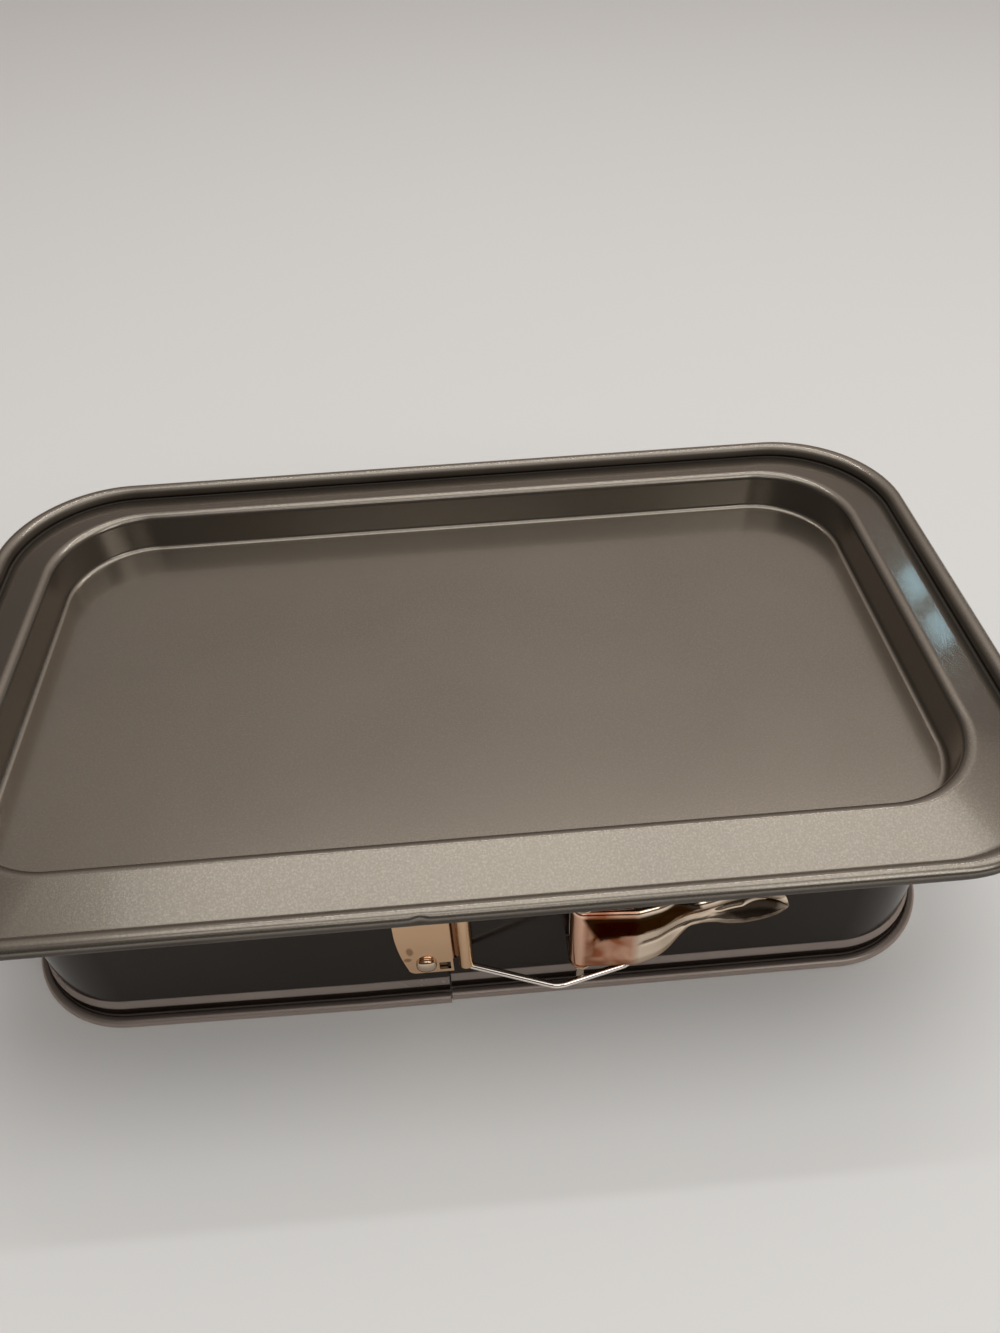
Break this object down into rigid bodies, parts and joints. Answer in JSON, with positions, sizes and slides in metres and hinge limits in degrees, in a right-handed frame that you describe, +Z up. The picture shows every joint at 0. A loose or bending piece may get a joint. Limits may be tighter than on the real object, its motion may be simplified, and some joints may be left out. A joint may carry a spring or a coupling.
{
  "type": "rectangular springform pan",
  "caption": "Rectangular springform pan standing upside down: wide-rimmed base tray on a coated steel ring with a rolled edge, closed by a wire bail and an over-centre lever.",
  "frame": {"origin": "on the table under the middle of the pan, which stands upside down on the rolled edge of its ring, as in the picture", "axes": "+X along the pan's length, towards the thumb end of the closed lever; +Y away from the clasp side; +Z up, from the ring's rolled edge to the base tray"},
  "size_m": [0.3268, 0.2, 0.0799],
  "materials": {
    "tray_coat": "satin grey-brown non-stick coating with a fine speckle",
    "ring_coat": "glossy dark brown non-stick coating",
    "plated_steel": "bright nickel plating on spring steel"
  },
  "bodies": {
    "ring_back": {"ring_back_wall": "ring_coat"},
    "left_arm": {"ring_left_arm": "ring_coat", "catch_plate": "plated_steel", "catch_rivet_lower": "plated_steel", "catch_rivet_upper": "plated_steel"},
    "right_arm": {"ring_right_arm": "ring_coat", "pivot_bracket": "plated_steel", "pivot_pin": "plated_steel", "bracket_rivet_lower": "plated_steel", "bracket_rivet_upper": "plated_steel"},
    "lever": {"clasp_lever": "plated_steel"},
    "wire": {"wire_bail": "plated_steel"},
    "tray": {"base_tray": "tray_coat"}
  },
  "joints": [
    {"name": "left_arm_spring", "type": "hinge", "parent": "ring_back", "child": "left_arm", "pos_m": [-0.1106, 0.0824, 0.04], "axis": [0, 0, -1], "range_deg": [0, 4.41]},
    {"name": "right_arm_spring", "type": "hinge", "parent": "ring_back", "child": "right_arm", "pos_m": [0.1106, 0.0824, 0.04], "axis": [0, 0, 1], "range_deg": [0, 2.21]},
    {"name": "lever_swing", "type": "hinge", "parent": "right_arm", "child": "lever", "pos_m": [0.0276, -0.0858, 0.042], "axis": [0, 0, -1], "range_deg": [0, 120]},
    {"name": "wire_swing", "type": "hinge", "parent": "left_arm", "child": "wire", "pos_m": [-0.0058, -0.08125, 0.042], "axis": [0, 0, -1], "range_deg": [0, 6.5]},
    {"name": "tray_lift", "type": "slide", "parent": "ring_back", "child": "tray", "axis": [0, 0, 1], "range_m": [0, 0.06]}
  ],
  "couplings": [
    {"joint": "left_arm_spring", "follows": "lever_swing", "ratio": 0.036708},
    {"joint": "right_arm_spring", "follows": "lever_swing", "ratio": 0.018354},
    {"joint": "wire_swing", "follows": "lever_swing", "ratio": 0.054123}
  ]
}
